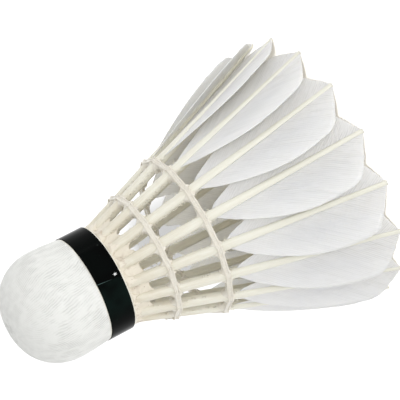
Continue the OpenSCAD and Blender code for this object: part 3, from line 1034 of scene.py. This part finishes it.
class WindingForm:
    """Path of a bound thread: one turn inside the quills and two outside, side by side."""

    def __init__(self, binding, form, node):
        self.form = form
        self.binding = binding
        self.count = len(FEATHER_NODES)
        self.turn_stations = QUILL_STATIONS * self.count
        self.pitch = binding.thread_width + binding.strand_gap
        self.middle = binding_distance(node)

    def wrap_r(self, s):
        form, binding = self.form, self.binding
        quill = max(form.width(s), form.lean(s) * form.depth(s)) / 2
        strand = form.lean(s) * (binding.clearance + binding.thread_width / 2)
        return (quill + strand) / math.cos(binding.wrap_angle / 2)

    def chord_r(self, s):
        wrap = self.wrap_r(s)
        side_r = self.form.spine_r(s) + wrap * math.cos(self.binding.wrap_angle)
        return side_r * math.cos(PITCH / 2) + wrap * math.sin(self.binding.wrap_angle) * math.sin(PITCH / 2)

    def station(self, k):
        """Station k of the winding: in the gap before a quill, on both its sides or on its middle."""
        level = 0.0 if k < self.turn_stations else self.pitch / 2
        if self.turn_stations <= k < 2 * self.turn_stations:
            level = -level
        s = self.middle + level / self.form.lean(self.middle)
        quill = self.count // 2 + (k % self.turn_stations) // QUILL_STATIONS
        angle = feather_angle(quill)
        step = k % QUILL_STATIONS
        if step == 0:
            radius = self.chord_r(s) - (INNER_DRAW * self.pitch if k <= self.turn_stations else 0.0)
            return self.around(radius, 0.0, angle - PITCH / 2, s)
        turn = self.binding.wrap_angle * (step - QUILL_STATIONS // 2)
        reach = self.wrap_r(s) * math.cos(turn) * (-1 if k < self.turn_stations else 1)
        return self.around(self.form.spine_r(s) + reach, self.wrap_r(s) * math.sin(turn), angle, s)

    def around(self, radius, aside, angle, s):
        cos, sin = math.cos(angle), math.sin(angle)
        return Vector((radius * cos - aside * sin, radius * sin + aside * cos, FACE_Z - s))

    def path(self, steps):
        """Smooth path through all stations, with so many steps from one to the next."""
        stations = [self.station(k) for k in range(1, TURNS * self.turn_stations - 1)]
        points = []
        for i in range(len(stations) - 1):
            before, after = stations[max(i - 1, 0)], stations[min(i + 2, len(stations) - 1)]
            a, b = stations[i], stations[i + 1]
            for step in range(steps):
                t = step / steps
                points.append(0.5 * (
                    2 * a + (b - before) * t + (2 * before - 5 * a + 4 * b - after) * t ** 2
                    + (3 * a - before - 3 * b + after) * t ** 3))
        return points + [stations[-1]]


def thread_mesh(winding):
    """Two-ply thread along the winding's path."""
    groove = 0.14
    points = winding.path(THREAD_STEPS)
    rows = len(points) - 1
    radius = winding.binding.thread_width / 2
    travel = [0.0]
    for a, b in zip(points, points[1:]):
        travel.append(travel[-1] + (b - a).length)

    def place(u, v):
        i = round(v * rows)
        along = (points[min(i + 1, rows)] - points[max(i - 1, 0)]).normalized()
        across = along.cross(Vector((0, 0, 1))).normalized()
        turn = math.tau * u
        twist = math.tau * travel[i] / winding.binding.twist_pitch
        ply = radius * (1 - groove + groove * math.cos(2 * (turn - twist)))
        return points[i] + ply * (across * math.cos(turn) + across.cross(along) * math.sin(turn))

    return closed_grid((THREAD_SIDES, rows), place)


def binding_glue_mesh(winding):
    """Dried glue that joins the strands between the quills and runs into fillets beside them."""
    fullness, over_share, uneven, uneven_scale = 0.75, 0.5, 0.3, 9
    form, binding = winding.form, winding.binding
    s = winding.middle
    spine = form.spine_r(s)
    slope = form.spine_slope(s)
    quill = form.width(s) / 2
    collar = quill + binding.thread_width + 0.3 * binding.glue_cover
    chord = winding.chord_r(s)
    gap_out = chord + binding.thread_width / 4
    gap_in = chord - INNER_DRAW * winding.pitch - binding.thread_width / 2 - binding.glue_cover

    def place(u, v):
        angle = FIRST_ANGLE + math.tau * v
        off = (angle - FIRST_ANGLE + PITCH / 2) % PITCH - PITCH / 2
        aside = abs(spine * math.sin(off))
        bulge = math.sqrt(max(collar ** 2 - aside ** 2, 0.0))
        over = ease((collar - aside) / (over_share * collar))
        outside = mix(gap_out, max(gap_out, spine * math.cos(off) + bulge), over)
        inside = mix(gap_in, min(gap_in, spine * math.cos(off) - bulge), over)
        beside = max(aside - quill, 0.0)
        half = binding.glue_width + binding.fillet_width * math.exp(-beside / binding.fillet_reach)
        if aside < quill:
            half = mix(binding.glue_width, half, ease(aside / quill) ** 2)
        half *= 1 + uneven * noise.noise(polar(1.0, angle, 3.0 * s / MM) * uneven_scale)
        turn = math.tau * u
        middle = (outside + inside) / 2
        radial = signed_power(math.cos(turn), fullness) * (outside - inside) / 2
        down = signed_power(math.sin(turn), fullness) * half
        return polar(middle + radial + slope * down, angle, FACE_Z - s - down)

    return closed_grid(BAND_FACES, place)


class SHUTTLE_OT_cork(bpy.types.Operator):
    """Gives the natural nose and the pressed collar their cork finish"""

    bl_idname = "shuttle.cork"
    bl_label = "Finish the cork"

    def execute(self, context):
        base = context.scene.shuttle_base
        natural = cork_material(base, "natural_cork", granule=1.6 * MM, pores=(900.0, 900.0, 260.0))
        pressed = cork_material(base, "pressed_cork", granule=0.9 * MM, pores=(1500.0,) * 3)
        for node, material in (("cork_nose", natural), ("cork_collar", pressed)):
            NODES[node].data.materials.clear()
            NODES[node].data.materials.append(material)
        return {"FINISHED"}


class SHUTTLE_OT_leather(bpy.types.Operator):
    """Makes the leather cover with its stretched grain"""

    bl_idname = "shuttle.leather"
    bl_label = "Make the leather"

    def execute(self, context):
        base = context.scene.shuttle_base
        add_piece("leather_skin", leather_mesh(base), leather_material(base), "leather", "leather_cover")
        return {"FINISHED"}


class SHUTTLE_OT_ribbon(bpy.types.Operator):
    """Winds the glossy ribbon round the base"""

    bl_idname = "shuttle.ribbon"
    bl_label = "Wind the ribbon"

    def execute(self, context):
        base = context.scene.shuttle_base
        piece = add_piece("ribbon_band", ribbon_mesh(base), ribbon_material(base), "ribbon", "ribbon")
        piece.data.set_sharp_from_angle(angle=SHARP)
        return {"FINISHED"}


class SHUTTLE_OT_root_glue(bpy.types.Operator):
    """Lays the glue bed round the quill roots"""

    bl_idname = "shuttle.root_glue"
    bl_label = "Glue the roots"

    def execute(self, context):
        base = context.scene.shuttle_base
        form = FeatherForm(context.scene.shuttle_feathers)
        add_piece("glue_bed", root_glue_mesh(base, form), root_glue_material(base), "glue", "root_glue")
        return {"FINISHED"}


class SHUTTLE_OT_feathers(bpy.types.Operator):
    """Makes the feathers, each a quill and its webs"""

    bl_idname = "shuttle.feathers"
    bl_label = "Make the feathers"

    def execute(self, context):
        feathers = context.scene.shuttle_feathers
        form = FeatherForm(feathers)
        horn = quill_material(feathers)
        vane = web_material(feathers)
        rows = 2 * feathers.barbs
        lengths = {
            1: barb_lengths(form, feathers.wide_web, feathers.barb_angle, rows),
            -1: barb_lengths(form, feathers.narrow_web, feathers.barb_angle, rows),
        }
        for index, node in enumerate(FEATHER_NODES):
            number = node.removeprefix("feather_")
            quill = turned_to_place(quill_mesh(form, index), index)
            add_piece(f"quill_{number}", quill, horn, "feather", node)
            web = turned_to_place(web_mesh(form, index, lengths), index)
            piece = add_piece(f"web_{number}", web, vane, "feather", node)
            wall = piece.modifiers.new("thickness", "SOLIDIFY")
            wall.thickness = feathers.web_thickness
            wall.offset = 0.0
        return {"FINISHED"}


class SHUTTLE_OT_bindings(bpy.types.Operator):
    """Winds both threads and lets glue dry on them"""

    bl_idname = "shuttle.bindings"
    bl_label = "Bind the feathers"

    def execute(self, context):
        binding = context.scene.shuttle_binding
        form = FeatherForm(context.scene.shuttle_feathers)
        cotton = thread_material(binding)
        glue = binding_glue_material(binding)
        for node in ("lower_thread", "upper_thread"):
            winding = WindingForm(binding, form, node)
            add_piece(f"{node}_winding", thread_mesh(winding), cotton, "thread", node)
            add_piece(f"{node}_glue", binding_glue_mesh(winding), glue, "glue")
        return {"FINISHED"}


def aimed(place, target):
    """Turn of a lamp that stands at one place and shines at another."""
    return (Vector(target) - Vector(place)).to_track_quat("-Z", "Y").to_euler()


def add_lamp(name, kind, place, target, energy):
    lamp = in_scene(name, bpy.data.lights.new(name, kind))
    lamp.data.energy = energy
    lamp.location = place
    lamp.rotation_euler = aimed(place, target)
    return lamp


def only_lights(lamp, receiver):
    """Keeps a lamp's light on one object."""
    lit = bpy.data.collections.new(f"lit_by_{lamp.name}")
    lit.objects.link(receiver)
    lamp.light_linking.receiver_collection = lit


def seen_directly(wires):
    """1 where the camera sees a surface straight, in a mirror or through glass."""
    rays = wires.add("ShaderNodeLightPath").outputs
    seen = wires.larger(rays["Is Camera Ray"], rays["Is Glossy Ray"])
    return wires.larger(seen, rays["Is Transmission Ray"])


def floor_material(stage):
    """Plain floor with faint flecks, which its lamp and an even glow bring to white."""
    fleck_scale = 40.0
    material, wires, shader = new_material(
        "plain_floor", Roughness=0.8, Specular_IOR_Level=0.0, Emission_Strength=1.0
    )
    flecks = wires.spread(wires.noise(wires.coordinates("Object"), fleck_scale), 0.3, 0.7)
    wires.set(shader["Base Color"], wires.blend(flecks, stage.floor_colour, stage.floor_fleck_colour))
    wires.set(shader["Emission Color"], wires.blend(seen_directly(wires), BLACK, stage.floor_glow))
    return material


class SHUTTLE_OT_stage(bpy.types.Operator):
    """Sets the floor, the lights and the camera"""

    bl_idname = "shuttle.stage"
    bl_label = "Set the stage"

    def execute(self, context):
        stage = context.scene.shuttle_stage
        floor = self.lay_floor(stage)
        self.light(context.scene, stage)
        self.light_floor(stage, floor)
        camera = in_scene("camera", bpy.data.cameras.new("camera"))
        camera.data.lens = stage.lens
        camera.location = stage.camera_place
        camera.rotation_euler = stage.camera_turn
        context.scene.camera = camera
        context.scene.view_settings.view_transform = "Standard"
        return {"FINISHED"}

    def lay_floor(self, stage):
        bm = bmesh.new()
        bmesh.ops.create_grid(bm, x_segments=1, y_segments=1, size=stage.floor_size)
        floor = in_scene("floor", finished_mesh("floor", bm, floor_material(stage)))
        floor.location.z = CAD_BOX[0][2]
        return floor

    def light_floor(self, stage, floor):
        away = Vector(stage.camera_place)
        away.z = math.hypot(away.x, away.y) * math.tan(stage.floor_light_rise)
        lamp = add_lamp("floor_lamp", "SUN", away, (0.0, 0.0, 0.0), stage.floor_light)
        lamp.data.angle = stage.floor_light_spread
        only_lights(lamp, floor)
        inside = Vector((0.0, 0.0, mix(CAD_BOX[0][2], FACE_Z, stage.inner_height)))
        lamp = add_lamp("inner_lamp", "POINT", inside, (0.0, 0.0, 0.0), stage.inner_light)
        lamp.data.color = stage.inner_colour[:3]
        lamp.data.shadow_soft_size = stage.inner_size
        only_lights(lamp, floor)

    def light(self, scene, stage):
        middle = (0.0, 0.0, (CAD_BOX[0][2] + CAD_BOX[1][2]) / 2)
        key = add_lamp("key", "AREA", stage.key_place, middle, stage.key_power)
        key.data.size = stage.key_size
        glint = add_lamp("glint", "SPOT", stage.glint_place, BLISTER, stage.glint_power)
        glint.data.shadow_soft_size = stage.glint_size
        glint.data.spot_size = stage.glint_cone
        glint.data.spot_blend = stage.glint_blend
        only_lights(glint, bpy.data.objects["ribbon_band"])
        world = bpy.data.worlds.new("even_light")
        scene.world = world
        world.use_nodes = True
        wires = Wiring(world.node_tree)
        even = wires.tree.nodes["Background"]
        even.inputs["Color"].default_value = WHITE
        even.inputs["Strength"].default_value = stage.sky_level
        white = wires.add("ShaderNodeBackground", {"Color": WHITE, "Strength": 1.0})
        shaders = {0: seen_directly(wires), 1: even.outputs[0], 2: white.outputs[0]}
        mixed = wires.add("ShaderNodeMixShader", shaders)
        wires.set(wires.tree.nodes["World Output"].inputs["Surface"], mixed.outputs[0])


STEPS = (
    SHUTTLE_OT_cork,
    SHUTTLE_OT_leather,
    SHUTTLE_OT_ribbon,
    SHUTTLE_OT_root_glue,
    SHUTTLE_OT_feathers,
    SHUTTLE_OT_bindings,
    SHUTTLE_OT_stage,
)
SETTINGS = {
    "shuttle_base": ShuttleBaseSettings,
    "shuttle_feathers": ShuttleFeatherSettings,
    "shuttle_binding": ShuttleBindingSettings,
    "shuttle_stage": ShuttleStageSettings,
}


class SHUTTLE_PT_panel(bpy.types.Panel):
    """Steps that make the shuttlecock"""

    bl_idname = "SHUTTLE_PT_panel"
    bl_label = "Shuttlecock"
    bl_space_type = "VIEW_3D"
    bl_region_type = "UI"
    bl_category = "Shuttlecock"

    def draw(self, context):
        for step in STEPS:
            self.layout.operator(step.bl_idname)


CLASSES = (*SETTINGS.values(), *STEPS, SHUTTLE_PT_panel)


def register():
    for cls in CLASSES:
        bpy.utils.register_class(cls)
    for name, group in SETTINGS.items():
        setattr(bpy.types.Scene, name, PointerProperty(type=group))


def unregister():
    for name in SETTINGS:
        delattr(bpy.types.Scene, name)
    for cls in reversed(CLASSES):
        bpy.utils.unregister_class(cls)


def main():
    register()
    for step in STEPS:
        group, name = step.bl_idname.split(".")
        getattr(getattr(bpy.ops, group), name)()


if __name__ == "__main__":
    main()
